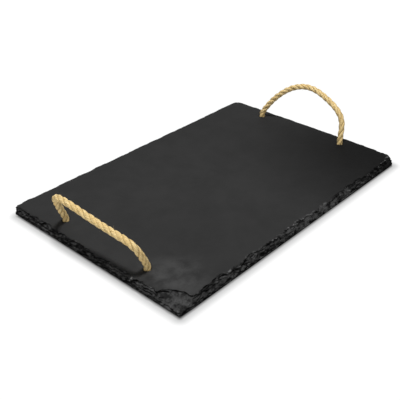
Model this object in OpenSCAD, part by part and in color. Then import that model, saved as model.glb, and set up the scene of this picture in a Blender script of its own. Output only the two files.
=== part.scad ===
// Slate serving board with a rope handle at each end.
// +X runs along the board to its far end and +Z is up. The origin is the
// middle of the board, on the surface that its feet stand on.

/* [Slate] */
// Length of the slate, along X
slate_l = 300; // [240:1:400]
// Width of the slate, along Y
slate_w = 200; // [150:1:280]
// Thickness of the slate
slate_t = 7.5; // [6.5:0.1:12]
// Radius of the near right corner
near_right_r = 3; // [1:0.5:12]
// Radius of the far right corner
far_right_r = 6; // [1:0.5:12]
// Radius of the far left corner
far_left_r = 7; // [1:0.5:12]
// Radius of the near left corner
near_left_r = 2; // [1:0.5:12]

/* [Chipped edge] */
// Reach of the widest chips at the near right corner
near_right_chip = 7.5; // [1:0.1:9]
// Reach of the widest chips in the middle of the right side
right_chip = 4.4; // [1:0.1:9]
// Reach of the widest chips at the far right corner
far_right_chip = 8.5; // [1:0.1:9]
// Reach of the widest chips at the near left corner
near_left_chip = 3.4; // [1:0.1:9]
// Reach of the widest chips in the middle of the near end
near_chip = 4.2; // [1:0.1:9]
// Reach of the widest chips along the far end
far_chip = 1.1; // [0.8:0.1:6]
// Reach of the widest chips along the left side
left_chip = 0.9; // [0.8:0.1:6]
// Number of chips along each long side
side_chips = 17; // [6:1:24]
// Number of chips along each short end
end_chips = 11; // [4:1:16]
// Length along X of the flake that is missing at the near right corner
flake_l = 18; // [8:1:22]
// Width along Y of that flake
flake_w = 27; // [8:1:28]
// Height of the step at the flake's inner edge
flake_h = 1.5; // [0.5:0.1:2.5]
// Height of the tallest step at a chip's inner edge
chip_step = 2; // [0.5:0.1:3]
// Width of a step's sloping face
step_run = 0.9; // [0.3:0.1:2]
// Width of the top's sloping margin at the near end and along the right side
rim = 11; // [10:0.5:12]
// Width of the top's sloping margin at the far end and along the left side
thin_rim = 6; // [3:0.5:8]
// How far the top falls in its margin
rim_fall = 0.1; // [0.05:0.05:0.5]
// Which irregular edge the slate has
edge_seed = 41; // [1:1:99]

/* [Rope] */
// Diameter of the rope
rope_d = 6; // [4:0.5:8]
// Distance from the near end to the middle of its rope holes
near_hole_inset = 17.5; // [16:0.5:40]
// Distance from the far end to the middle of its rope holes
far_hole_inset = 12.5; // [12:0.5:40]
// Distance between the two rope holes of a handle
hole_span = 98.5; // [70:0.5:130]
// Distance by which the far holes were drilled off centre, to the left
far_shift = 5; // [-10:0.5:10]
// Gap between the rope and the wall of its hole
hole_gap = 0.3; // [0.3:0.1:1]
// Size of the bevel round the top of a rope hole
hole_bevel = 0.4; // [0.3:0.1:1]
// Gap between the rope's moving and fixed lengths, and over the slate
rope_gap = 0.3; // [0.2:0.1:0.6]

/* [Handles] */
// Lean of the near handle out over the end of the slate, in degrees
near_lean = 26; // [0:1:45]
// Height of the near handle's crown over its pivots
near_rise = 34; // [25:1:60]
// Lean of the far handle out over the end of the slate, in degrees
far_lean = 13; // [0:1:45]
// Height of the far handle's crown over its pivots
far_rise = 39; // [25:1:60]

/* [Knots] */
// Diameter of the pocket that a knot lies in, under the slate
pocket_d = 14; // [13:0.5:20]
// Depth of that pocket
pocket_h = 4; // [3:0.1:5]
// Diameter of the knot's core
core_d = 9; // [8:0.1:10]
// Height of the knot, from its pocket's floor
knot_h = 5.8; // [5:0.1:6.2]
// Diameter of one strand of the rope where it goes round the knot
strand_d = 3.6; // [3:0.1:4]
// Length of the strand's turn that shows on the knot
strand_l = 9.2; // [8:0.1:10]
// Distance of each strand from the middle of the knot
strand_offset = 2.5; // [2:0.1:3]
// Tilt of each strand, which dives under the next one, in degrees
strand_tilt = 14; // [5:1:25]

/* [Feet] */
// Diameter of a foot
foot_d = 10; // [6:0.5:16]
// Height of a foot, which holds the knots clear of the table
foot_h = 2.5; // [2:0.1:6]
// Distance from the slate's edges to the middle of a foot
foot_inset = 24; // [16:1:40]
// Radius of a foot's lower edge
foot_edge = 0.8; // [0.2:0.1:1.2]

/* [Hidden] */
$fn = 48;

slate_colour = [0.22, 0.22, 0.23];
rope_colour = [0.82, 0.72, 0.52];
foot_colour = [0.12, 0.12, 0.12];

// The sides in order round the slate are right, far, left and near, and each
// is followed by the corner at its end
side_lengths = [slate_l, slate_w, slate_l, slate_w];
corner_radii = [far_right_r, far_left_r, near_left_r, near_right_r];
// Reach of the widest chips where each side starts, at its middle and where it
// ends; beyond a chipped corner, the next side starts at this share of it
corner_share = 0.5;
first_chips = [near_right_chip, far_right_chip * corner_share, left_chip, near_left_chip];
middle_chips = [right_chip, far_chip, left_chip, near_chip];
last_chips = [far_right_chip, far_chip, near_left_chip * corner_share, near_right_chip];
chip_counts = [side_chips, end_chips, side_chips, end_chips];
// Every chip is drawn by this many points
points_per_chip = 4;
points_per_corner = 6;
// Every point of the edge moves inwards towards an inner rectangle, which lies
// this share of the slate's width inside its near end and its right side, and
// closer to the other two, by as much as their margin is thinner
aim_share = 0.19;
aim_inset = slate_w * aim_share;
// Smallest chip, and the ridge between two chips, as shares of the widest
least_chip_share = 0.4;
ridge_share = 0.45;
// How far a ridge strays along the edge, as a share of a chip
stray_share = 0.35;
// Lowest and highest place of each ring of the edge, as shares of its range
step_shares = [0.3, 0.9];
shelf_shares = [0.4, 0.75];
lip_shares = [0.06, 0.32];
brow_shares = [0.02, 0.08];
shelf_z_shares = [0.48, 0.7];
lip_z_shares = [0.26, 0.42];
brow_z_shares = [0.1, 0.2];
base_share = 0.05;
// Widest share of a chip that its step may take
step_limit_share = 0.4;
// Seeds kept for each row of chances
row_seeds = 388;
// Places of the feet and holes
foot_x = slate_l / 2 - foot_inset;
foot_y = slate_w / 2 - foot_inset;
half_span = hole_span / 2;
hole_d = rope_d + 2 * hole_gap;
slate_top = foot_h + slate_t;
// The handle swings on the line through its two holes, just high enough for
// the rope to lie flat on the slate
pivot_z = slate_top + rope_d / 2 + rope_gap;
// Crown of each handle: its place along the span, the slope of the rope there
// and the reach of the curve to the left and the right of it
near_crown_share = 0.1;
near_crown_tilt = 13;
near_crown_shares = [0.59, 1.1];
far_crown_share = -0.34;
far_crown_tilt = 20;
far_crown_shares = [0.69, 0.75];
// Reach of the curve over the left and the right hole, and the angle by which
// it starts outwards, in degrees
near_root_shares = [0.85, 0.8];
near_root_splay = [-10, 5];
far_root_shares = [0.42, 0.36];
far_root_splay = [-25, -7];
// Rings along half of a handle, sides of the rope and rings in its round end
half_rings = 24;
rope_sides = 12;
end_rings = 3;
// Length by which a cut runs past the face that it opens
cut = slate_t / 4;

function lerp(a, b, f) = a + (b - a) * f;
function unit(v) = v / norm(v);
function total(list, n) = n == 0 ? 0 : list[n - 1] + total(list, n - 1);

// Repeatable chance between 0 and 1 for chip i
function chance(i, row) = rands(0, 1, 1, edge_seed + row * row_seeds + i)[0];

// Chance that changes smoothly from one whole number to the next
function wander(x, row) =
    let (i = floor(x), f = x - i)
    lerp(chance(i, row), chance(i + 1, row), f * f * (3 - 2 * f));

// Each place on the way round is [side, share along it, share of its corner]
walk = [for (s = [0:3]) each concat(
    [for (j = [0:chip_counts[s] * points_per_chip - 1])
        [s, j / (chip_counts[s] * points_per_chip), 0]],
    [for (j = [0:points_per_corner - 1]) [s, 1, j / points_per_corner]])];

function along(s) = [cos(90 * s), sin(90 * s)];
function outward(s) = [cos(90 * (s - 1)), sin(90 * (s - 1))];

// Point of the outline at a place
function outline_point(place) =
    let (s = place[0],
        r = corner_radii[s],
        r_before = corner_radii[(s + 3) % 4],
        half = side_lengths[s] / 2,
        out = side_lengths[(s + 1) % 4] / 2,
        a = 90 * place[2])
    place[2] > 0
        ? along(s) * (half - r + r * sin(a)) + outward(s) * (out - r + r * cos(a))
        : along(s) * lerp(r_before - half, half - r, place[1]) + outward(s) * out;

// Nearest point of the inner rectangle to a point of the outline
function aim_point(p) =
    let (x = slate_l / 2 - aim_inset, y = slate_w / 2 - aim_inset, thinner = rim - thin_rim)
    [max(-x, min(x + thinner, p.x)), max(-y, min(y + thinner, p.y))];

// Chips counted from the start of the walk, one more at each corner
function chip_at(place) = total(chip_counts, place[0]) + place[0]
    + place[1] * chip_counts[place[0]] + place[2];

// Reach of the top edge of the chips at a place
function chip_reach(place) =
    let (s = place[0],
        ends = lerp(first_chips[s], last_chips[s], place[1]),
        widest = lerp(lerp(ends, middle_chips[s], 4 * place[1] * (1 - place[1])),
            first_chips[(s + 1) % 4], place[2]),
        g = chip_at(place),
        x = g + stray_share * (2 * wander(g, 1) - 1),
        i = floor(x),
        scoop = sqrt(4 * (x - i) * (1 - x + i)))
    widest * lerp(least_chip_share, 1, chance(i, 2)) * lerp(ridge_share, 1, scoop);

// Distance inwards at which a place's ray leaves the missing flake
function flake_reach(place) =
    let (p = outline_point(place),
        d = unit(aim_point(p) - p),
        pn = [(p.x + slate_l / 2) / flake_l, (p.y + slate_w / 2) / flake_w],
        dn = [d.x / flake_l, d.y / flake_w],
        a = dn * dn,
        b = 2 * pn * dn,
        c = pn * pn - 1)
    c < 0 ? (-b + sqrt(b * b - 4 * a * c)) / (2 * a) : 0;

// The edge at one place as [inset, height] pairs from the table side up
function edge_profile(place) =
    let (g = chip_at(place),
        chip = chip_reach(place),
        flake = flake_reach(place),
        reach = max(chip, flake),
        step = flake > chip ? flake_h
            : chip_step * lerp(step_shares[0], step_shares[1], wander(g, 3)),
        foot = reach - min(step_run, reach * step_limit_share),
        shelf = flake > chip ? foot / 2
            : foot * lerp(shelf_shares[0], shelf_shares[1], wander(2 * g, 4)),
        lip = min(shelf, chip) * lerp(lip_shares[0], lip_shares[1], wander(g, 5)),
        brow = chip * lerp(brow_shares[0], brow_shares[1], wander(g, 6)),
        shelf_z = slate_t * lerp(shelf_z_shares[0], shelf_z_shares[1], wander(g, 7)),
        lip_z = slate_t * lerp(lip_z_shares[0], lip_z_shares[1], wander(2 * g, 8)),
        brow_z = slate_t * lerp(brow_z_shares[0], brow_z_shares[1], wander(g, 9)),
        border_z = slate_t - rim_fall,
        p = outline_point(place))
    [[chip * base_share, 0], [0, brow_z / 2], [brow, brow_z], [lip, lip_z],
        [shelf, min(shelf_z, border_z - step)],
        [foot, border_z - step], [reach, border_z],
        [norm(aim_point(p) - p) - aim_inset + rim, slate_t]];

function edge_point(place, pair) =
    let (p = outline_point(place), q = p + unit(aim_point(p) - p) * pair[0])
    [q.x, q.y, foot_h + pair[1]];

// Closed skin over rings of points, with a flat face at each end
module skin(rings) {
    n = len(rings[0]);
    m = len(rings);
    polyhedron(
        points = [for (ring = rings) each ring],
        faces = concat(
            [[for (i = [0:n - 1]) i]],
            [for (r = [0:m - 2], i = [0:n - 1]) each [
                [r * n + i, (r + 1) * n + i, (r + 1) * n + (i + 1) % n],
                [r * n + i, (r + 1) * n + (i + 1) % n, r * n + (i + 1) % n]]],
            [[for (i = [n - 1:-1:0]) (m - 1) * n + i]]));
}

// The signs sx and sy say which corner a hole, knot or foot is near
function hole_x(sx) = sx * (slate_l / 2 - (sx < 0 ? near_hole_inset : far_hole_inset));
function hole_y(sx, sy) = sy * half_span + (sx < 0 ? 0 : far_shift);

// Hole for the rope's end, and the pocket for its knot
module rope_hole(sx, sy) {
    translate([hole_x(sx), hole_y(sx, sy), foot_h]) {
        translate([0, 0, -cut]) cylinder(d = hole_d, h = slate_t + 2 * cut);
        translate([0, 0, -cut]) cylinder(d = pocket_d, h = pocket_h + cut);
        translate([0, 0, slate_t - hole_bevel])
            cylinder(d1 = hole_d, d2 = hole_d + 2 * (hole_bevel + cut), h = hole_bevel + cut);
    }
}

module slate() {
    profiles = [for (place = walk) edge_profile(place)];
    color(slate_colour)
    difference() {
        skin([for (r = [0:len(profiles[0]) - 1])
            [for (i = [0:len(walk) - 1]) edge_point(walk[i], profiles[i][r])]]);
        for (sx = [-1, 1], sy = [-1, 1]) rope_hole(sx, sy);
    }
}

function bezier(p, u) = p[0] * pow(1 - u, 3) + 3 * p[1] * u * pow(1 - u, 2)
    + 3 * p[2] * u * u * (1 - u) + p[3] * pow(u, 3);
function bezier_slope(p, u) = (p[1] - p[0]) * pow(1 - u, 2)
    + 2 * (p[2] - p[1]) * u * (1 - u) + (p[3] - p[2]) * u * u;
// Rope along the arch from the left hole to the right one, in the plane of
// the handle: x is across the board and y is up the handle
module rope_arch(rise, crown_share, crown_tilt, crown_shares, root_shares, splay) {
    left = [half_span, 0];
    right = [-half_span, 0];
    crown = [half_span * crown_share, rise];
    slope = [cos(crown_tilt), sin(crown_tilt)];
    left_curve = [left, left + half_span * root_shares[0] * [sin(splay[0]), cos(splay[0])],
        crown + half_span * crown_shares[0] * slope, crown];
    right_curve = [crown, crown - half_span * crown_shares[1] * slope,
        right + half_span * root_shares[1] * [-sin(splay[1]), cos(splay[1])], right];
    stations = concat(
        [for (i = [0:half_rings - 1]) [left_curve, i / half_rings]],
        [for (i = [0:half_rings]) [right_curve, i / half_rings]]);
    middle = [for (s = stations) [bezier(s[0], s[1]), unit(bezier_slope(s[0], s[1])), rope_d / 2]];
    first = middle[0];
    last = middle[len(middle) - 1];
    // Round ends, as smaller rings beyond the first and the last
    start = [for (i = [end_rings:-1:1]) let (a = 90 * i / (end_rings + 1))
        [first[0] - first[1] * sin(a) * rope_d / 2, first[1], cos(a) * rope_d / 2]];
    finish = [for (i = [1:end_rings]) let (a = 90 * i / (end_rings + 1))
        [last[0] + last[1] * sin(a) * rope_d / 2, last[1], cos(a) * rope_d / 2]];
    skin([for (ring = concat(start, middle, finish))
        [for (k = [0:rope_sides - 1])
            let (a = -360 * k / rope_sides,
                across = ring[2] * cos(a),
                side = [-ring[1].y, ring[1].x] * across)
            [ring[0].x + side.x, ring[0].y + side.y, ring[2] * sin(a)]]]);
}

// Handle standing in its holes at the end sx, leaning outwards
module rope_handle(sx, lean, rise, crown_share, crown_tilt, crown_shares, root_shares, splay) {
    color(rope_colour)
    translate([hole_x(sx), hole_y(sx, 0), pivot_z])
        rotate([0, sx * lean, 0])
            multmatrix([[0, 0, 1, 0], [1, 0, 0, 0], [0, 1, 0, 0]])
                rope_arch(rise, crown_share, crown_tilt, crown_shares, root_shares, splay);
}

module near_rope_handle() {
    rope_handle(-1, near_lean, near_rise, near_crown_share, near_crown_tilt,
        near_crown_shares, near_root_shares, near_root_splay);
}

module far_rope_handle() {
    rope_handle(1, far_lean, far_rise, far_crown_share, far_crown_tilt,
        far_crown_shares, far_root_shares, far_root_splay);
}

// One strand of the knot, lying along X with round ends
module strand() {
    rotate([0, 90, 0]) rotate_extrude() intersection() {
        translate([0, -strand_l / 2]) square([strand_d, strand_l]);
        union() {
            translate([-strand_d / 2, strand_d / 2 - strand_l / 2])
                square([strand_d, strand_l - strand_d]);
            for (end = [-1, 1])
                translate([0, end * (strand_l - strand_d) / 2]) circle(d = strand_d);
        }
    }
}

// End of the rope in its hole, and the three-strand knot that it ends in,
// drawn up flat against the floor of its pocket
module knot(sx, sy) {
    knot_top = foot_h + pocket_h;
    dip = (strand_l - strand_d) / 2 * sin(strand_tilt) + strand_d / 2;
    color(rope_colour)
    translate([hole_x(sx), hole_y(sx, sy), 0]) {
        translate([0, 0, knot_top - knot_h + dip])
            for (k = [0:2])
                rotate([0, 0, 120 * k])
                    translate([0, strand_offset, 0])
                        rotate([0, strand_tilt, 0]) strand();
        translate([0, 0, knot_top - knot_h + strand_d / 2]) {
            cylinder(d = core_d, h = knot_h - strand_d / 2);
            cylinder(d = rope_d, h = slate_top - knot_top + knot_h - strand_d / 2);
        }
    }
}

module near_left_knot() { knot(-1, 1); }
module near_right_knot() { knot(-1, -1); }
module far_left_knot() { knot(1, 1); }
module far_right_knot() { knot(1, -1); }

// Stick-on foot with a rounded lower edge
module foot(sx, sy) {
    color(foot_colour)
    translate([sx * foot_x, sy * foot_y, 0])
        rotate_extrude() {
            translate([0, foot_edge]) square([foot_d / 2, foot_h - foot_edge]);
            square([foot_d / 2 - foot_edge, foot_h]);
            translate([foot_d / 2 - foot_edge, foot_edge]) circle(r = foot_edge);
        }
}

module near_left_foot() { foot(-1, 1); }
module near_right_foot() { foot(-1, -1); }
module far_left_foot() { foot(1, 1); }
module far_right_foot() { foot(1, -1); }

slate();
near_rope_handle();
far_rope_handle();
near_left_knot();
near_right_knot();
far_left_knot();
far_right_knot();
near_left_foot();
near_right_foot();
far_left_foot();
far_right_foot();
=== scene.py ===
# %% [markdown]
# # A slate serving board with rope handles
#
# The board is one piece of riven slate with chipped edges. A rope handle
# stands at each end, in two holes through the stone, and ends under the slate
# in two knots. Four small rubber feet hold the knots clear of the table. This
# script dresses the measured model of the board, piece by piece.

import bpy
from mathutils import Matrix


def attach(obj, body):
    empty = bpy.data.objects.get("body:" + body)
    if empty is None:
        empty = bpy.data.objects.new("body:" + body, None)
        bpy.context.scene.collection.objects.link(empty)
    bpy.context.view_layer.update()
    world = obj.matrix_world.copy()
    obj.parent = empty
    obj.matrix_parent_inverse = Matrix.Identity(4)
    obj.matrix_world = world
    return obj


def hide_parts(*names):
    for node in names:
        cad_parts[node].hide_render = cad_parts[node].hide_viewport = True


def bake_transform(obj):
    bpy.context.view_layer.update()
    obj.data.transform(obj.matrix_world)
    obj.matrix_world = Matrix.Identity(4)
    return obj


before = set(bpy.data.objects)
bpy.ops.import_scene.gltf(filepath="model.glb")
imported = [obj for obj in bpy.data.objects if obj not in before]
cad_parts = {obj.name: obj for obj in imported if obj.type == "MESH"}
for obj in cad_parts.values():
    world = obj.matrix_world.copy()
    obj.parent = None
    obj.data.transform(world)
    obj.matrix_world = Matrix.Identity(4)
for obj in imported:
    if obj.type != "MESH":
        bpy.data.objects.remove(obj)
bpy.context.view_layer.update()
print("nodes:", sorted(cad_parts))

# %% Shared tools and sizes
import math
import random

import bmesh
import bpy
from mathutils import Matrix, Vector, noise

MM = 0.001
SLATE_LENGTH = 300 * MM
SLATE_WIDTH = 200 * MM
SLATE_HALVES = (SLATE_LENGTH / 2, SLATE_WIDTH / 2)
SLATE_BOTTOM = 2.5 * MM
SLATE_TOP = 10 * MM


def added(name, data):
    """A new object at the origin, in the scene."""
    made = bpy.data.objects.new(name, data)
    bpy.context.scene.collection.objects.link(made)
    return made


def piece_from(name, shape):
    """A new object whose mesh is a finished bmesh."""
    mesh = bpy.data.meshes.new(name)
    shape.to_mesh(mesh)
    shape.free()
    return added(name, mesh)


def triangles(piece):
    return sum(len(polygon.vertices) - 2 for polygon in piece.data.polygons)


print("slate is", SLATE_LENGTH, "by", SLATE_WIDTH, "m")

# %% [markdown]
# ## Camera
#
# The picture looks down on the near right corner of the board from about a
# third of a right angle up. Its place was worked out once, from where the
# board's edges and its four rope holes lie in the picture. A camera could be
# placed by eye and nudged, but a solved one lets every later difference be
# blamed on the model. Its roll of half a degree is kept.

# %% Camera
CAMERA_AZIMUTH = math.radians(-47.006)
CAMERA_ELEVATION = math.radians(31.93)
CAMERA_ROLL = math.radians(-0.606)
CAMERA_DISTANCE = 603.1 * MM
CAMERA_TARGET = Vector((-26.04 * MM, -4.75 * MM, SLATE_BOTTOM))
CAMERA_LENS = 60.88

back = Vector((math.sin(CAMERA_AZIMUTH) * math.cos(CAMERA_ELEVATION),
               -math.cos(CAMERA_AZIMUTH) * math.cos(CAMERA_ELEVATION),
               math.sin(CAMERA_ELEVATION)))
right = Vector((math.cos(CAMERA_AZIMUTH), math.sin(CAMERA_AZIMUTH), 0))
up = back.cross(right)
turned_right = right * math.cos(CAMERA_ROLL) + up * math.sin(CAMERA_ROLL)
turned_up = up * math.cos(CAMERA_ROLL) - right * math.sin(CAMERA_ROLL)
camera_data = bpy.data.cameras.new("camera")
camera_data.sensor_width = 36
camera_data.lens = CAMERA_LENS
camera_data.clip_start = 10 * MM
camera_data.clip_end = 50
camera = added("camera", camera_data)
turn = Matrix((turned_right, turned_up, back)).transposed()
camera.matrix_world = Matrix.Translation(CAMERA_TARGET + back * CAMERA_DISTANCE) @ turn.to_4x4()
bpy.context.scene.camera = camera
bpy.context.scene.view_settings.view_transform = "Standard"
print("camera at", [round(x, 4) for x in camera.location])

# %% [markdown]
# ## Recipes for materials
#
# A material in Blender is a graph of nodes. Placing and linking them one by
# one is slow to read, so a small class wraps a socket and lets ordinary sums
# and products add the Math nodes. One method adds every other kind of node.


# %% Sums of values
class Signal:
    """A node's output that can be used in sums."""

    def __init__(self, recipe, socket):
        self.recipe = recipe
        self.socket = socket

    def _math(self, operation, first, second):
        return self.recipe.node("ShaderNodeMath", {"operation": operation}, {0: first, 1: second})

    def __add__(self, other):
        return self._math("ADD", self, other)

    def __radd__(self, other):
        return self._math("ADD", other, self)

    def __sub__(self, other):
        return self._math("SUBTRACT", self, other)

    def __rsub__(self, other):
        return self._math("SUBTRACT", other, self)

    def __mul__(self, other):
        return self._math("MULTIPLY", self, other)

    def __rmul__(self, other):
        return self._math("MULTIPLY", other, self)

    def ramp(self, low, high):
        """Smooth step of this value, from nought at low to one at high."""
        return self.recipe.node("ShaderNodeMapRange", {"interpolation_type": "SMOOTHSTEP"},
                                {"Value": self, "From Min": low, "From Max": high})


print("sums ready")


# %% Recipes of nodes
class Recipe:
    """A material, or the world, and the nodes that make it."""

    def __init__(self, owner):
        self.owner = owner
        owner.use_nodes = True
        owner.node_tree.nodes.clear()

    def node(self, kind, settings=None, sockets=None, output=0):
        made = self.owner.node_tree.nodes.new(kind)
        for name, value in (settings or {}).items():
            setattr(made, name, value)
        for name, value in (sockets or {}).items():
            if isinstance(value, Signal):
                self.owner.node_tree.links.new(value.socket, made.inputs[name])
            else:
                made.inputs[name].default_value = value
        return Signal(self, made.outputs[output]) if made.outputs else None

    def coordinates(self):
        return self.node("ShaderNodeTexCoord", output="Object")

    def attribute(self, name, output="Fac"):
        return self.node("ShaderNodeAttribute", {"attribute_name": name}, output=output)

    def stretched(self, vector, scale):
        return self.node("ShaderNodeMapping", {}, {"Vector": vector, "Scale": scale})

    def vector(self, operation, *values, output=0):
        return self.node("ShaderNodeVectorMath", {"operation": operation},
                         dict(enumerate(values)), output)

    def distance(self, place, point):
        """How far a place is from a fixed point, in metres."""
        return self.vector("DISTANCE", place, point, output="Value")

    def noise(self, vector, size, detail, roughness):
        """Soft noise between 0 and 1 whose features are size metres across."""
        return self.node("ShaderNodeTexNoise", {}, {"Vector": vector, "Scale": 1 / size,
                                                    "Detail": detail, "Roughness": roughness})

    def mixed(self, share, first, second):
        """A colour between two colours, whose sockets share their names with others."""
        return self.node("ShaderNodeMix", {"data_type": "RGBA"},
                         {0: share, 6: first, 7: second}, output=2)

    def bump(self, height, distance, under=None):
        sockets = {"Height": height, "Distance": distance, "Strength": 1.0}
        if under is not None:
            sockets["Normal"] = under
        return self.node("ShaderNodeBump", {}, sockets)

    def seen(self):
        """One for rays from the camera, a mirror or glass, and nought for all others."""
        camera, mirror, glass = (self.node("ShaderNodeLightPath", output="Is " + kind + " Ray")
                                 for kind in ("Camera", "Glossy", "Transmission"))
        return camera + mirror + glass

    def finish(self, shader, output="ShaderNodeOutputMaterial"):
        self.node(output, {}, {"Surface": shader})
        return self.owner


def grey(value):
    """A linear grey."""
    return (value, value, value, 1)


print("recipes ready")

# %% [markdown]
# ## Floor and light
#
# The board was photographed on white in soft light, so that its shadow is a
# thin soft line along the two near sides. Here a small strong lamp hangs
# nearly overhead, and two large low ones stand behind the board and in front.
# The floor is a plain pale sheet. Turning the lamps up until it is white would
# bleach the rope. So for the camera, and for rays from mirrors and through
# glass, the floor is a darker sheet with a glow of its own. The glow fades to
# nought towards the board, which paints a soft shadow round it. The floor still
# takes the lamps' shadow, and for the light that it scatters on the board it
# stays the plain sheet.

# %% Floor
FLOOR_HALF = 6.0
SHEET_TONE = 0.66
SEEN_TONE = 0.2
UNDER = 3 * MM
# Each glow's start and full reach, as distances from a rectangle that lies UNDER
# inside the board's outline, and its strength. Each starts from nought, so the
# floor is painted with a soft shadow round the board
GLOWS = ((0.0, 3 * MM, 0.44), (2 * MM, 11 * MM, 0.83), (60 * MM, 600 * MM, 1.0))

floor_shape = bmesh.new()
bmesh.ops.create_grid(floor_shape, x_segments=1, y_segments=1, size=FLOOR_HALF)
floor = piece_from("floor", floor_shape)

recipe = Recipe(bpy.data.materials.new("pale floor"))
sheet = recipe.node("ShaderNodeBsdfDiffuse", {}, {"Color": grey(SHEET_TONE)})
seen_sheet = recipe.node("ShaderNodeBsdfDiffuse", {}, {"Color": grey(SEEN_TONE)})
across = recipe.vector("ABSOLUTE", recipe.coordinates())
beside = recipe.vector("SUBTRACT", across, [half - UNDER for half in SLATE_HALVES] + [0])
beside = recipe.vector("MAXIMUM", beside, (0, 0, 0))
away = recipe.vector("LENGTH", beside, output="Value")
# The glow, which fades to nought towards the board as a painted shadow
glow_and_painted_shadow = grey(0.0)
for start, full, strength in GLOWS:
    glow_and_painted_shadow = recipe.mixed(away.ramp(start, full), glow_and_painted_shadow, grey(strength))
glow = recipe.node("ShaderNodeEmission", {}, {"Color": glow_and_painted_shadow, "Strength": 1.0})
lit = recipe.node("ShaderNodeAddShader", {}, {0: seen_sheet, 1: glow})
floor.data.materials.append(recipe.finish(
    recipe.node("ShaderNodeMixShader", {}, {0: recipe.seen(), 1: sheet, 2: lit})))
print("floor is", 2 * FLOOR_HALF, "m across")

# %% World
SKY_LIGHT = 0.08

recipe = Recipe(bpy.data.worlds.new("studio"))
sky = recipe.node("ShaderNodeBackground", {}, {"Color": grey(1.0), "Strength": SKY_LIGHT})
backdrop = recipe.node("ShaderNodeBackground", {}, {"Color": grey(1.0), "Strength": 1.0})
bpy.context.scene.world = recipe.finish(
    recipe.node("ShaderNodeMixShader", {}, {0: recipe.seen(), 1: sky, 2: backdrop}),
    "ShaderNodeOutputWorld")
print("sky light", SKY_LIGHT)


# %% Lamps
def soft_lamp(name, place, size, power):
    """A square lamp at a place, facing the middle of the board."""
    data = bpy.data.lights.new(name, "AREA")
    data.shape = "SQUARE"
    data.size = size
    data.energy = power
    lamp = added(name, data)
    lamp.location = place
    lamp.rotation_mode = "QUATERNION"
    lamp.rotation_quaternion = (-Vector(place)).to_track_quat("-Z", "Y")
    print(name, "at", place, "with", power, "W")


soft_lamp("lamp above", place=(-0.09, -0.06, 0.95), size=0.15, power=7.3)
soft_lamp("lamp behind", place=(0.55, 0.75, 0.6), size=0.9, power=2.6)
soft_lamp("lamp in front", place=(-1.0, -0.7, 0.35), size=0.8, power=4.6)

# %% [markdown]
# ## Slate
#
# Slate splits into flat sheets, so its top is nearly a plane, and where the
# edge was knapped it breaks into scoops whose walls show the sheets as fine
# ledges. The measured model already has the outline and the large chips. Its
# mesh is copied, its loose triangles are joined, and its edge is cut finer,
# so that every small ledge and scoop can be pushed into real geometry. A bump
# in the material would be quicker, but it would leave the outline smooth.

# %% A joined copy of the slate
SAME_POINT = 0.001 * MM

slate_shape = bmesh.new()
slate_shape.from_mesh(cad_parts["slate"].data)
steep_shade = slate_shape.verts.layers.float.new("steep_shade")
crest = slate_shape.verts.layers.float.new("crest")
bmesh.ops.remove_doubles(slate_shape, verts=slate_shape.verts, dist=SAME_POINT)
print("slate has", len(slate_shape.verts), "points and", len(slate_shape.faces), "faces")

# %% Sort the slate's faces
# How far off a height a point still counts as level with it
LEVEL = 0.01 * MM
# Half the way between the two holes of a handle, and the middle of each pair
HALF_SPAN = 49.25 * MM
PIVOTS = {"near": Vector((-132.5, 0)) * MM, "far": Vector((137.5, 5)) * MM}
POCKET_RADIUS = 7 * MM
HOLES = [pivot + Vector((0, side * HALF_SPAN)) for pivot in PIVOTS.values() for side in (1, -1)]


def lies_at(face, height):
    return all(abs(v.co.z - height) < LEVEL for v in face.verts)


def is_flat(face):
    return lies_at(face, SLATE_TOP) or lies_at(face, SLATE_BOTTOM)


def in_hole(point):
    """Whether a point is in a hole or its pocket, or on their walls."""
    return any((point.xy - hole).length < POCKET_RADIUS + LEVEL for hole in HOLES)


print("flat faces:", sum(1 for f in slate_shape.faces if lies_at(f, SLATE_TOP)), "on top and",
      sum(1 for f in slate_shape.faces if lies_at(f, SLATE_BOTTOM)), "below")

# %% Join the flat faces, and cut the edge finer
FLAT_ANGLE = math.radians(0.01)
EDGE_CUTS = 4


def once_each(elements):
    """A list without repeats, in an order that is the same each run."""
    return list(dict.fromkeys(elements))


for height in (SLATE_TOP, SLATE_BOTTOM):
    level = [f for f in slate_shape.faces if lies_at(f, height)]
    bmesh.ops.dissolve_limit(slate_shape, angle_limit=FLAT_ANGLE,
                             verts=once_each(v for f in level for v in f.verts),
                             edges=[e for e in once_each(e for f in level for e in f.edges)
                                    if all(lies_at(f, height) for f in e.link_faces)])
edge_faces = [f for f in slate_shape.faces if not (is_flat(f) or in_hole(f.calc_center_median()))]
bmesh.ops.subdivide_edges(slate_shape, edges=once_each(e for f in edge_faces for e in f.edges),
                          cuts=EDGE_CUTS, use_grid_fill=True)
print("after cutting:", len(slate_shape.faces), "faces")

# %% Lay a grid of cuts over the top, and a wider one below
TOP_GRID = 4 * MM
BOTTOM_GRID = 3 * TOP_GRID


def cut_grid(height, spacing):
    """Cuts the flat faces at a height into squares."""
    faces = [f for f in slate_shape.faces if lies_at(f, height)]
    geometry = once_each(x for f in faces for x in (f, *f.edges, *f.verts))
    for half, normal in zip(SLATE_HALVES, (Vector((1, 0, 0)), Vector((0, 1, 0)))):
        for step in range(1, round(2 * half / spacing)):
            geometry = bmesh.ops.bisect_plane(
                slate_shape, geom=geometry, dist=SAME_POINT, plane_no=normal,
                plane_co=normal * (step * spacing - half))["geom"]


cut_grid(SLATE_TOP, TOP_GRID)
cut_grid(SLATE_BOTTOM, BOTTOM_GRID)
print("with the grid:", len(slate_shape.faces), "faces")
print("open edges:", sum(1 for e in slate_shape.edges if len(e.link_faces) != 2))

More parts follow.
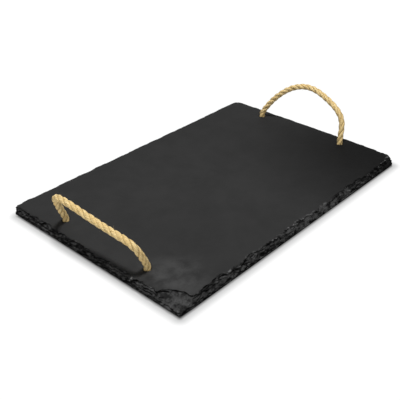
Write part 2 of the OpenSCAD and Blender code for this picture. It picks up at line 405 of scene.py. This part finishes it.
# %% [markdown]
# ### The broken edge
#
# A blow at the edge knocks off a shell-shaped flake, so the wall is covered in
# shallow scoops that meet in sharp ridges, and every sheet of the slate ends
# at its own small ledge. Cell noise gives the scoops: its value is nought on
# the lines between cells, which become the ridges. The ledges come from a
# noise that jumps from one sheet to the next. Scoops only cut into the stone.
# The ledges and the ragged line round the top go either way, and whatever
# would stand past the board's real length or width is pushed back to it.

# %% Which way the edge faces, and its scoops
# The edge faces away from the nearest point of the rectangle between these two
AIM_LOW = Vector((-112, -62)) * MM
AIM_HIGH = Vector((117, 67)) * MM
# Wear of the quiet sides as a share of the full wear, and how soon it is full
LEAST_WEAR = 0.4
WEAR_SPREAD = 1.4
# Width and depth of the large scoops and the small ones
SCOOPS = ((8 * MM, 0.9 * MM), (3 * MM, 0.35 * MM))
# How much wider than high a scoop is, and how soon it is deep beside its ridge
SCOOP_SQUASH = 1.6
RIDGE_SLOPE = 2.2


def outward(point):
    """Level direction out of the slate at a point of its edge."""
    aim = Vector([max(low, min(high, at)) for low, high, at in zip(AIM_LOW, AIM_HIGH, point)])
    return (point.xy - aim).normalized().to_3d()


def wear(out_way):
    """How roughly a side is broken: fully at the near end and on the right."""
    exposed = min(1, WEAR_SPREAD * max(0, -out_way.x, -out_way.y))
    return LEAST_WEAR + (1 - LEAST_WEAR) * exposed


def scoop_depth(point):
    """Depth of the shell-shaped scoops, in metres."""
    depth = 0
    for size, deepest in SCOOPS:
        place = Vector((point.x / size, point.y / size, SCOOP_SQUASH * point.z / size))
        near, next_near = noise.voronoi(place)[0][:2]
        depth += deepest * min(1, RIDGE_SLOPE * (next_near - near))
    return depth


print("a scoop is up to", round(sum(d for _, d in SCOOPS) / MM, 2), "mm deep")

# %% The ends of the sheets, and the ragged line round the top
# Thickness of a sheet, and how far its end can lie behind the next one's
SHEET = 1.5 * MM
SHEET_DEPTH = 1.1 * MM
# How far the sheets wander up and down, in sheets, and how wide a wander is
WANDER = 1.5
WANDER_SIZE = 14 * MM
# Width of a break in a sheet, how sharply it differs from the next one, and how
# much of the depth is left standing proud
BREAK_SIZE = 5 * MM
BREAK_CONTRAST = 1.2
LEFT_PROUD = 0.25
# Place in the noise of one sheet against the one below it
NEXT_SHEET = 7.3
# How much of the stone's slope is undone, the most slope, and the flattest wall
SLOPE_UNDONE = 0.9
MOST_SLOPE = 1.6
FLATTEST = 0.1
# Width and depth of the large bays in the line and the small ones
JAG = ((6 * MM, 1.3 * MM), (2 * MM, 0.8 * MM))


def sheet_depth(point, normal):
    """Depth to which each sheet of the slate is broken back, in metres.

    The slope of the stone is undone within a sheet, so that the sheets end
    in steps, and a chance for each sheet breaks it back further."""
    level = point.z / SHEET + WANDER * noise.noise(point / WANDER_SIZE)
    number = math.floor(level)
    share = 0.5 + BREAK_CONTRAST * noise.noise(point.xy.to_3d() / BREAK_SIZE
                                               + Vector((0, 0, NEXT_SHEET * number)))
    slope = min(MOST_SLOPE, normal.z / max(FLATTEST, normal.xy.length))
    return (SHEET_DEPTH * (max(0, min(1, share)) - LEFT_PROUD)
            - SLOPE_UNDONE * slope * (level - number - 0.5) * SHEET)


def jag_depth(point):
    """Depth of the ragged line round the top, in metres, either way."""
    return sum(deepest * noise.noise(point.xy.to_3d() / size) for size, deepest in JAG)


print("a sheet is", SHEET / MM, "mm thick and ends in steps up to", SHEET_DEPTH / MM, "mm deep")

# %% Break the edge
RIM_FALL = 0.1 * MM
BORDER = SLATE_TOP - RIM_FALL
# How far down the wall the ragged line reaches, and how high the wall's foot is
JAG_HEIGHT = 2.6 * MM
BASE_HEIGHT = 1.2 * MM
# Share of a scoop's depth that is left at the foot of the wall
BASE_SCOOP = 0.5
# How far a scoop is turned from square to the stone to level
LEVELLED = 0.35

slate_shape.normal_update()
broken = {}
for vert in slate_shape.verts:
    height = vert.co.z
    if in_hole(vert.co) or all(is_flat(f) for f in vert.link_faces):
        continue
    out_way = outward(vert.co)
    roughly = wear(out_way)
    if height > BORDER - LEVEL:
        rim = min(1, (SLATE_TOP - height) / RIM_FALL)
        broken[vert] = (-out_way * jag_depth(vert.co) * roughly * rim ** 2
                        + Vector((0, 0, SLATE_TOP - RIM_FALL * rim ** 2 - height)))
        continue
    base = min(1, (height - SLATE_BOTTOM) / BASE_HEIGHT)
    ragged = max(0, 1 - (BORDER - height) / JAG_HEIGHT)
    cut = scoop_depth(vert.co) * roughly
    ledge = sheet_depth(vert.co, vert.normal) * roughly * base
    if height < SLATE_BOTTOM + LEVEL:
        broken[vert] = -out_way * BASE_SCOOP * cut
    else:
        way = vert.normal.lerp(out_way, LEVELLED).normalized()
        broken[vert] = (-way * cut * (BASE_SCOOP + (1 - BASE_SCOOP) * base)
                        - out_way * (jag_depth(vert.co) * roughly * ragged + ledge))
for vert, shift in broken.items():
    vert.co += shift
    for axis, half in enumerate(SLATE_HALVES):
        vert.co[axis] = max(-half, min(half, vert.co[axis]))
print("moved", len(broken), "points of the edge")

# %% [markdown]
# ### The riven top
#
# The top was split, not sawn, so it rises and falls a little over the width of
# a hand, here by up to 0.15 mm. Light grazing over it shows that as soft
# patches. It could be painted into the material, but then the patches would
# stay where they are as the light moves. The cuts made above are close enough
# to carry it in the mesh, and the grain that is finer than they are is left to
# the material.

# %% Let the top rise and fall, and soften the wall
# Width and height of the long swells and the short ones
SWELLS = ((38 * MM, 0.11 * MM), (11 * MM, 0.035 * MM))
# How much longer than wide a swell is
SWELL_STRETCH = 1.5
WALL_SMOOTHING = 0.25


def swell(point):
    """Rise of the top at a point, in metres."""
    level = Vector((point.x, SWELL_STRETCH * point.y, 0))
    return sum(most * noise.noise(level / size) for size, most in SWELLS)


for vert in slate_shape.verts:
    if vert.co.z > BORDER - LEVEL:
        vert.co.z += swell(vert.co)
wall = [v for v in broken if SLATE_BOTTOM + LEVEL < v.co.z < BORDER - LEVEL]
bmesh.ops.smooth_vert(slate_shape, verts=wall, factor=WALL_SMOOTHING,
                      use_axis_x=True, use_axis_y=True, use_axis_z=True)
print("top rises and falls by", round(sum(m for _, m in SWELLS) / MM, 3), "mm at most")

# %% Mark the broken stone and its ridges
# Upward part of a normal below which stone starts to be steep, and how much
# lower it is fully so
STEEP = 0.6
STEEP_BAND = 0.3
WALL_TOP = BORDER - 5 * LEVEL
CREST_ROUNDS = 2

slate_shape.normal_update()
for face in slate_shape.faces:
    on_wall = any(v in broken and v.co.z < WALL_TOP for v in face.verts)
    face.material_index = int(on_wall and not lies_at(face, SLATE_BOTTOM))
for vert in slate_shape.verts:
    if vert in broken:
        # How steep the stone is, which the material paints as shade
        vert[steep_shade] = max(0, min(1, (STEEP - vert.normal.z) / STEEP_BAND))
    arms = [e.other_vert(vert).co - vert.co for e in vert.link_edges]
    vert[crest] = -sum(arm.dot(vert.normal) / arm.length for arm in arms) / len(arms)
for _ in range(CREST_ROUNDS):
    softened = [0.5 * vert[crest] + 0.5 * sum(e.other_vert(vert)[crest] for e in vert.link_edges)
                / len(vert.link_edges) for vert in slate_shape.verts]
    for vert, value in zip(slate_shape.verts, softened):
        vert[crest] = value
print("broken faces:", sum(face.material_index for face in slate_shape.faces))

# %% Make the slate a piece
# Edges that bend more than this are drawn sharp
SHARP_ANGLE = math.radians(38)

slate = piece_from("slate_board", slate_shape)
slate.data.shade_smooth()
slate.data.set_sharp_from_angle(angle=SHARP_ANGLE)
for polygon in slate.data.polygons:
    corners = [slate.data.vertices[i].co for i in polygon.vertices]
    if all(abs(corner.z - SLATE_BOTTOM) < LEVEL for corner in corners):
        polygon.use_smooth = False
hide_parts("slate")
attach(slate, "board")
print("slate has", triangles(slate), "triangles")

# %% [markdown]
# ### Slate finish
#
# Slate is a very dark grey with a weak, wide gloss. Its split faces show soft
# patches and pale specks. Shade is painted on the top, darkest towards the far
# right corner, and a painted sheen makes it paler at the near right one.
# Freshly broken stone is very dark, and shade is painted on it by slope: nearly
# black where it is steep and paler where it lies flatter. Painted highlights,
# partly wear, make its ridges pale, and painted light makes its walls paler
# along the middle of the right side. One material with masks could do both, but
# two keep each recipe short. The broken stone follows the two marks that the
# mesh carries: how steep it is, and how sharp its ridges.

# %% Split stone
FAR_RIGHT_CORNER = (155 * MM, -90 * MM, SLATE_TOP)
# Middle of a painted sheen on the top
SHEEN_SPOT = (-128 * MM, -72 * MM, SLATE_TOP)
# Painted shade
PAINTED_SHADE = grey(0.002)
SPLIT_DARK, SPLIT_PALE = grey(0.029), grey(0.0365)
SPECK = grey(0.08)
# Painted sheen
PAINTED_SHEEN = grey(0.075)

recipe = Recipe(bpy.data.materials.new("riven slate"))
place = recipe.coordinates()
patches = recipe.noise(place, 60 * MM, 3, 0.55)
clouds = recipe.noise(place, 16 * MM, 5, 0.6)
grain = recipe.noise(place, 1.1 * MM, 4, 0.7)
specks = recipe.noise(place, 0.5 * MM, 2, 0.5).ramp(0.62, 0.75)
from_corner = recipe.distance(place, FAR_RIGHT_CORNER)
from_sheen = recipe.distance(place, SHEEN_SPOT)
tone = recipe.mixed(patches.ramp(0.3, 0.7) * 0.5 + clouds.ramp(0.25, 0.75) * 0.5,
                    SPLIT_DARK, SPLIT_PALE)
tone = recipe.mixed(specks * 0.12, tone, SPECK)
# Painted shade: darker towards the far right corner
tone = recipe.mixed(0.74 * (1 - from_corner.ramp(15 * MM, 170 * MM)), tone, PAINTED_SHADE)
# Painted sheen: paler in patches near the near right corner
tone = recipe.mixed(0.7 * (1 - from_sheen.ramp(8 * MM, 38 * MM)) * clouds.ramp(0.3, 0.65),
                    tone, PAINTED_SHEEN)
# Painted shade: a little darker further from the near right corner
tone = recipe.mixed(0.12 * from_sheen.ramp(100 * MM, 260 * MM), tone, PAINTED_SHADE)
cleft = recipe.noise(place, 7 * MM, 6, 0.6)
relief = recipe.bump(grain, 0.05 * MM, recipe.bump(cleft, 0.25 * MM))
slate.data.materials.append(recipe.finish(recipe.node("ShaderNodeBsdfPrincipled", {}, {
    "Base Color": tone, "Roughness": 0.56 + patches * 0.16 + grain * 0.08, "Normal": relief,
    "Specular IOR Level": 0.015})))
print("split faces finished")

# %% Broken stone
# Middle of the painted light on the right side's walls
LIT_WALLS_MIDDLE = (25 * MM, -100 * MM, SLATE_TOP)
FACET_DARK, FACET_PALE = grey(0.016), grey(0.072)
WALL_DARK, WALL_PALE = grey(0.0004), grey(0.013)
# Painted light on the walls
PAINTED_WALL_LIGHT = grey(0.075)
# Painted highlight on the ridges, partly wear
RIDGE_HIGHLIGHT = grey(0.16)

recipe = Recipe(bpy.data.materials.new("broken slate"))
place = recipe.coordinates()
steep = recipe.attribute("steep_shade")
ridges = recipe.attribute("crest").ramp(0.08, 0.22)
clouds = recipe.noise(place, 5 * MM, 4, 0.6)
grain = recipe.noise(place, 0.9 * MM, 4, 0.7)
from_corner = recipe.distance(place, FAR_RIGHT_CORNER)
from_lit_walls = recipe.distance(place, LIT_WALLS_MIDDLE)
facet = recipe.mixed(clouds.ramp(0.35, 0.65), FACET_DARK, FACET_PALE)
# Painted shade on the facets towards the far right corner
facet = recipe.mixed(0.85 * (1 - from_corner.ramp(10 * MM, 90 * MM)), facet, PAINTED_SHADE)
steep_tone = recipe.mixed((clouds * 0.5 + grain * 0.5).ramp(0.47, 0.6), WALL_DARK, WALL_PALE)
# Painted light on the walls along the middle of the right side
steep_tone = recipe.mixed((1 - from_lit_walls.ramp(20 * MM, 80 * MM)) * clouds.ramp(0.4, 0.56),
                          steep_tone, PAINTED_WALL_LIGHT)
# Painted shade: steep walls nearly black, flatter facets paler
tone = recipe.mixed(steep, facet, steep_tone)
# Painted highlights on the ridges, partly wear
tone = recipe.mixed(ridges * clouds.ramp(0.5, 0.62), tone, RIDGE_HIGHLIGHT)
slate.data.materials.append(recipe.finish(recipe.node("ShaderNodeBsdfPrincipled", {}, {
    "Base Color": tone, "Roughness": 0.55, "Normal": recipe.bump(grain, 0.08 * MM),
    "Specular IOR Level": 0.01})))
print("broken edge finished")

# %% [markdown]
# ## Rope handles
#
# Each handle is one length of three-strand rope: a knot in a pocket under the
# slate, up through a hole, over in an arch that leans outwards, and down to
# the second knot. The rope is stiff enough to stand, so it follows the curve
# of the measured model and not a hanging line. On the real board its two ends
# stay with the board while the arch swings, and the rope bends at the slate.
# Here the whole rope is one mesh. A smooth tube with a rope pattern would look
# flat from the side.
# Three real strands, laid round each other, give the true grooves.

# %% The curve of each arch
PIVOT_Z = 13.3 * MM
# Lean, tilt and splay are in degrees. The crown's place off the middle, and how
# far the curve's arms reach at the crown and the roots, are shares of HALF_SPAN
HANDLES = {
    "near": {"pivot": PIVOTS["near"], "lean": -26, "rise": 34 * MM, "crown": 0.1, "tilt": 13,
             "crown_reach": (0.59, 1.1), "root_reach": (0.85, 0.8), "splay": (-10, 5)},
    "far": {"pivot": PIVOTS["far"], "lean": 13, "rise": 39 * MM, "crown": -0.34, "tilt": 20,
            "crown_reach": (0.69, 0.75), "root_reach": (0.42, 0.36), "splay": (-25, -7)},
}
CURVE_STEPS = 80


def arch_points(handle):
    """The rope's middle line along the arch, in the handle's own plane."""
    left, right = Vector((HALF_SPAN, 0)), Vector((-HALF_SPAN, 0))
    crown = Vector((HALF_SPAN * handle["crown"], handle["rise"]))
    tilt = math.radians(handle["tilt"])
    slope = Vector((math.cos(tilt), math.sin(tilt))) * HALF_SPAN
    splay = [math.radians(a) for a in handle["splay"]]
    rising = Vector((math.sin(splay[0]), math.cos(splay[0]))) * HALF_SPAN
    falling = Vector((-math.sin(splay[1]), math.cos(splay[1]))) * HALF_SPAN
    reach, root = handle["crown_reach"], handle["root_reach"]
    curves = ((left, left + rising * root[0], crown + slope * reach[0], crown),
              (crown, crown - slope * reach[1], right + falling * root[1], right))
    points = []
    for a, b, c, d in curves:
        for i in range(CURVE_STEPS):
            u = i / CURVE_STEPS
            points.append(a * (1 - u) ** 3 + 3 * b * u * (1 - u) ** 2
                          + 3 * c * u * u * (1 - u) + d * u ** 3)
    return points + [right]


for name, handle in HANDLES.items():
    print(name, "arch rises", handle["rise"], "m and leans", handle["lean"], "degrees")

# %% The middle line of each rope
KNOT_TOP = 6.5 * MM
ROPE_STEP = 0.5 * MM
# How many times the corners of the line are rounded
ROPE_ROUNDS = 24


def evenly(points, step):
    """The same line with points a step apart."""
    total = sum((b - a).length for a, b in zip(points, points[1:]))
    count = max(2, round(total / step))
    made, travelled, target, i = [points[0].copy()], 0, total / count, 0
    while len(made) < count:
        length = (points[i + 1] - points[i]).length
        if travelled + length >= target * len(made):
            share = (target * len(made) - travelled) / length
            made.append(points[i].lerp(points[i + 1], share))
        else:
            travelled += length
            i += 1
    return made + [points[-1].copy()]


def relaxed(points, rounds, first, last):
    """The line with its corners rounded, from the first to the last point."""
    points = [p.copy() for p in points]
    for _ in range(rounds):
        points[first + 1:last] = [(points[i - 1] + 2 * points[i] + points[i + 1]) / 4
                                  for i in range(first + 1, last)]
    return points


def rope_line(handle):
    """The rope's middle line from the left pocket to the right one."""
    pivot, lean = handle["pivot"], math.radians(handle["lean"])
    arch = [Vector((pivot.x + p.y * math.sin(lean), pivot.y + p.x, PIVOT_Z + p.y * math.cos(lean)))
            for p in arch_points(handle)]
    ends = [Vector((pivot.x, pivot.y + side * HALF_SPAN, KNOT_TOP)) for side in (1, -1)]
    line = evenly(ends[:1] + arch + ends[1:], ROPE_STEP)
    return relaxed(line, ROPE_ROUNDS, 0, len(line) - 1)


for name, handle in HANDLES.items():
    line = rope_line(handle)
    print(name, "rope is", round((len(line) - 1) * ROPE_STEP / MM), "mm between its knots")

# %% [markdown]
# ### Three strands round one line
#
# The strands turn right-handed round the middle line, once in three and a half
# diameters. The yarns in a strand turn the other way, which is what keeps a
# rope from unlaying, and makes them run along the rope on its outside. A sheet
# of squares is rolled round each strand's line, with a groove between yarns.

# %% Lay the strands
STRANDS = 3
PITCH = 21 * MM
LAY_RADIUS = 1.12 * MM
STRAND_RADIUS = 1.82 * MM
# How uneven the lay and the strands are, and how long a wobble in the lay is
UNEVEN = 0.05
WOBBLE_SIZE = 9 * MM


def carried_axes(points):
    """A tangent and two axes across it at each point, carried without twist."""
    axes = []
    across = Vector((1, 0, 0))
    for i in range(len(points)):
        tangent = (points[min(i + 1, len(points) - 1)] - points[max(i - 1, 0)]).normalized()
        across = (across - tangent * across.dot(tangent)).normalized()
        axes.append((tangent, across, tangent.cross(across)))
    return axes


def strand_line(line, turn):
    """The middle line of one strand, which starts at a share of a turn."""
    made = []
    for i, (point, (_, a, b)) in enumerate(zip(line, carried_axes(line))):
        angle = math.tau * (turn + i * ROPE_STEP / PITCH)
        wobble = 1 + UNEVEN * noise.noise(Vector((i * ROPE_STEP / WOBBLE_SIZE, 9 * turn, 3)))
        made.append(point + (a * math.cos(angle) + b * math.sin(angle)) * LAY_RADIUS * wobble)
    return made


print("strand of", round(2 * STRAND_RADIUS / MM, 2), "mm, one turn every", round(PITCH / MM), "mm")

# %% Lead each strand through its knots
STRAND_STEP = 0.62 * MM
# Turn round the hole in degrees, distance from its axis and height, in mm
KNOT_PLACES = ((25, 2.4, 5.6), (60, 3.4, 5.0), (120, 4.6, 4.5), (180, 4.8, 3.2),
               (240, 4.0, 2.4), (300, 2.5, 2.2), (350, 1.2, 2.9))
# Steps of a strand that are rounded at each end, and how many times
KNOT_STEPS = 26
KNOT_ROUNDS = 5


def knot_line(start, hole):
    """A strand's way round its neighbours in the knot, from the rope down."""
    first = math.atan2(start.y - hole.y, start.x - hole.x)
    made = []
    for (a, r, z), (a2, r2, z2) in zip(KNOT_PLACES, KNOT_PLACES[1:]):
        for share in (0, 0.25, 0.5, 0.75):
            angle = first - math.radians(a + (a2 - a) * share)
            distance = (r + (r2 - r) * share) * MM
            made.append(Vector((hole.x + distance * math.cos(angle),
                                hole.y + distance * math.sin(angle), (z + (z2 - z) * share) * MM)))
    return made


def whole_strand(line, turn):
    """One strand from knot to knot."""
    rope = strand_line(line, turn)
    before = knot_line(rope[0], line[0])
    after = knot_line(rope[-1], line[-1])
    joined = evenly(before[::-1] + rope + after, STRAND_STEP)
    end = len(joined) - 1
    for first, last in ((0, KNOT_STEPS), (end - KNOT_STEPS, end)):
        joined = relaxed(joined, KNOT_ROUNDS, first, last)
    return joined


print("a strand passes", len(KNOT_PLACES), "places in each knot")

# %% Roll a sheet of squares round a line
STRAND_SIDES = 36
# Points of a tube nearer than this are one, along its seam and at its ends
SEAM = 0.0005 * MM


def roll(shape, points, radii, sides, twist=0.0, grooves=0, groove_depth=0.0, outwards=None):
    """Adds a closed tube round a line to a mesh, with its fibre coordinates."""
    fibre = shape.verts.layers.float_vector.get("fibre")
    outside = shape.verts.layers.float.get("outside")
    rings = len(points)
    made = bmesh.ops.create_grid(shape, x_segments=rings - 1, y_segments=sides, size=1)["verts"]
    axes = carried_axes(points)
    travelled = [0.0]
    for a, b in zip(points, points[1:]):
        travelled.append(travelled[-1] + (b - a).length)
    for vert in made:
        ring = round((vert.co.x + 1) / 2 * (rings - 1))
        angle = math.tau * round((vert.co.y + 1) / 2 * sides) / sides
        yarn_angle = angle + twist * travelled[ring]
        radius = radii[ring]
        if grooves:
            radius *= 1 - groove_depth * (1 - abs(math.sin(grooves * yarn_angle / 2))) ** 2
        _, a, b = axes[ring]
        arm = a * math.cos(angle) + b * math.sin(angle)
        vert.co = points[ring] + arm * radius
        vert[outside] = arm.dot(outwards[ring]) if outwards else 1
        vert[fibre] = (radii[ring] * math.cos(yarn_angle), radii[ring] * math.sin(yarn_angle),
                       travelled[ring])
    bmesh.ops.remove_doubles(shape, verts=made, dist=SEAM)


print("a strand has", STRAND_SIDES, "sides")

# %% The yarns in a strand
YARNS = 7
YARN_PITCH = 20 * MM
# Depth of the groove between two yarns as a share of the strand's radius
YARN_GROOVE = 0.13
SWELLING_SIZE = 6 * MM


def strand_radii(count):
    """Radius at each ring, uneven as in a natural rope, and round at both ends."""
    radii = []
    for i in range(count):
        from_end = min(i, count - 1 - i) * STRAND_STEP / STRAND_RADIUS
        cap = math.sqrt(max(0, 1 - max(0, 1 - from_end) ** 2))
        swelling = 1 + UNEVEN * noise.noise(Vector((i * STRAND_STEP / SWELLING_SIZE,
                                                    0.7 * count, 5)))
        radii.append(STRAND_RADIUS * swelling * cap)
    return radii


print("a strand has", YARNS, "yarns, which turn once in", YARN_PITCH / MM, "mm")

# %% Stray fibres
HAIRS = 110
HAIR_RADIUS = 0.045 * MM
HAIR_SIDES = 3
# Shares of a fibre's length, and its radius there as a share of the full one
HAIR_TAPER = ((0, 1), (0.3, 0.9), (0.65, 0.7), (1, 0))
# Least and most length in mm, way out of the strand, and way along it
HAIR_LENGTH = (0.8, 2.6)
HAIR_RISE = (0.4, 1.0)
HAIR_SLANT = (-1.2, 1.2)
# How much a fibre curls, and where it starts as a share of the strand's radius
HAIR_BEND = 0.35
HAIR_ROOT = 0.8
CLEAR_OF_SLATE = 3 * MM


def any_way(chance):
    return Vector((chance.gauss(0, 1), chance.gauss(0, 1), chance.gauss(0, 1)))


def add_hairs(shape, strands, seed):
    """Short fibres that stand away from the rope above the slate."""
    chance = random.Random(seed)
    for _ in range(HAIRS):
        points = chance.choice(strands)
        i = chance.randrange(3, len(points) - 3)
        start = points[i]
        if start.z < SLATE_TOP + CLEAR_OF_SLATE:
            continue
        tangent = (points[i + 1] - points[i - 1]).normalized()
        side = any_way(chance)
        side = (side - tangent * side.dot(tangent)).normalized()
        way = (side * chance.uniform(*HAIR_RISE)
               + tangent * chance.uniform(*HAIR_SLANT)).normalized()
        bend = any_way(chance) * HAIR_BEND
        length = chance.uniform(*HAIR_LENGTH) * MM
        hair = [start + side * STRAND_RADIUS * HAIR_ROOT + (way * u + bend * u * u) * length
                for u, _ in HAIR_TAPER]
        roll(shape, hair, [HAIR_RADIUS * share for _, share in HAIR_TAPER], HAIR_SIDES)


print("at most", HAIRS, "fibres on each rope")


# %% Make both ropes
def outward_ways(strand, strands):
    """Direction away from the rope's middle at each point of a strand."""
    ways = []
    for i, point in enumerate(strand):
        share = i / (len(strand) - 1)
        middle = sum((s[round(share * (len(s) - 1))] for s in strands), Vector()) / len(strands)
        ways.append((point - middle).normalized())
    return ways


def make_rope(name, handle, seed):
    line = rope_line(handle)
    shape = bmesh.new()
    shape.verts.layers.float_vector.new("fibre")
    shape.verts.layers.float.new("outside")
    strands = [whole_strand(line, k / STRANDS) for k in range(STRANDS)]
    for points in strands:
        roll(shape, points, strand_radii(len(points)), STRAND_SIDES,
             twist=math.tau / YARN_PITCH, grooves=YARNS, groove_depth=YARN_GROOVE,
             outwards=outward_ways(points, strands))
    add_hairs(shape, strands, seed)
    bmesh.ops.recalc_face_normals(shape, faces=shape.faces)
    rope = piece_from(name, shape)
    rope.data.shade_smooth()
    print(name, "has", triangles(rope), "triangles")
    return rope


ropes = {name: make_rope(name + "_rope", handle, seed)
         for seed, (name, handle) in enumerate(HANDLES.items())}

# %% [markdown]
# ### The ropes in place
#
# On the real board the knots and the rope in the holes stay with the board, and
# the arch swings with its handle, so that the rope bends over its lowest
# seventeen millimetres. Here each rope's mesh is fixed where it stands, and the
# measured model's rope and knots are hidden.

for name, rope in ropes.items():
    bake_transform(rope)
    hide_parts(name + "_rope_handle", name + "_left_knot", name + "_right_knot")

# %% [markdown]
# ### Rope finish
#
# The rope is pale straw fibre with darker flecks. Shade is painted olive brown
# down in its grooves, so each strand is lightest on its outside. A pattern laid
# through space would run straight across the strands. So the mesh carries
# coordinates that turn with the yarns, and noise stretched along them draws
# fibres that follow the lay.

# %% Rope material
STRAW_DARK, STRAW, STRAW_PALE = ((0.62, 0.41, 0.14, 1), (0.84, 0.61, 0.27, 1),
                                 (0.97, 0.78, 0.42, 1))
STAIN = (0.66, 0.47, 0.19, 1)
# Painted shade in the grooves
GROOVE_SHADE = (0.27, 0.17, 0.05, 1)
FLECK = (0.36, 0.23, 0.07, 1)

recipe = Recipe(bpy.data.materials.new("straw rope"))
place = recipe.coordinates()
fibres = recipe.attribute("fibre", output="Vector")
streaks = recipe.noise(recipe.stretched(fibres, (1, 1, 0.05)), 0.22 * MM, 3, 0.6)
bundles = recipe.noise(recipe.stretched(fibres, (1, 1, 0.12)), 0.9 * MM, 2, 0.5)
stains = recipe.noise(place, 9 * MM, 2, 0.5).ramp(0.55, 0.8)
flecks = recipe.noise(place, 1.7 * MM, 3, 0.6).ramp(0.56, 0.7)
outer = recipe.attribute("outside").ramp(0.02, 0.5)
tone = recipe.mixed(bundles.ramp(0.3, 0.7), STRAW, STRAW_PALE)
tone = recipe.mixed(streaks.ramp(0.36, 0.56), STRAW_DARK, tone)
tone = recipe.mixed(stains * 0.25, tone, STAIN)
# Painted shade down in the grooves between the strands
tone = recipe.mixed(0.65 * (1 - outer), tone, GROOVE_SHADE)
tone = recipe.mixed(flecks * 0.5, tone, FLECK)
rope_finish = recipe.finish(recipe.node("ShaderNodeBsdfPrincipled", {}, {
    "Base Color": tone, "Roughness": 0.62 + streaks * 0.25,
    "Normal": recipe.bump(streaks, 0.12 * MM), "Specular IOR Level": 0.3}))
for rope in ropes.values():
    rope.data.materials.append(rope_finish)
print("rope finished")

# %% [markdown]
# ## Feet
#
# The feet are small moulded rubber buttons. They are plain round forms, which
# the measured model already has, so they stay and only get a finish: nearly
# black, dull, and with a fine moulded grain.

# %% Rubber material
RUBBER, DUSTY = grey(0.014), grey(0.04)

recipe = Recipe(bpy.data.materials.new("rubber"))
place = recipe.coordinates()
grain = recipe.noise(place, 0.35 * MM, 3, 0.6)
dust = recipe.noise(place, 4 * MM, 4, 0.6)
rubber_finish = recipe.finish(recipe.node("ShaderNodeBsdfPrincipled", {}, {
    "Base Color": recipe.mixed(dust.ramp(0.4, 0.75) * 0.6, RUBBER, DUSTY),
    "Roughness": 0.55 + dust * 0.25, "Normal": recipe.bump(grain, 0.04 * MM)}))
feet = [node for name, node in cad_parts.items() if name.endswith("_foot")]
for foot in feet:
    foot.data.materials.clear()
    foot.data.materials.append(rubber_finish)
print(len(feet), "feet finished")
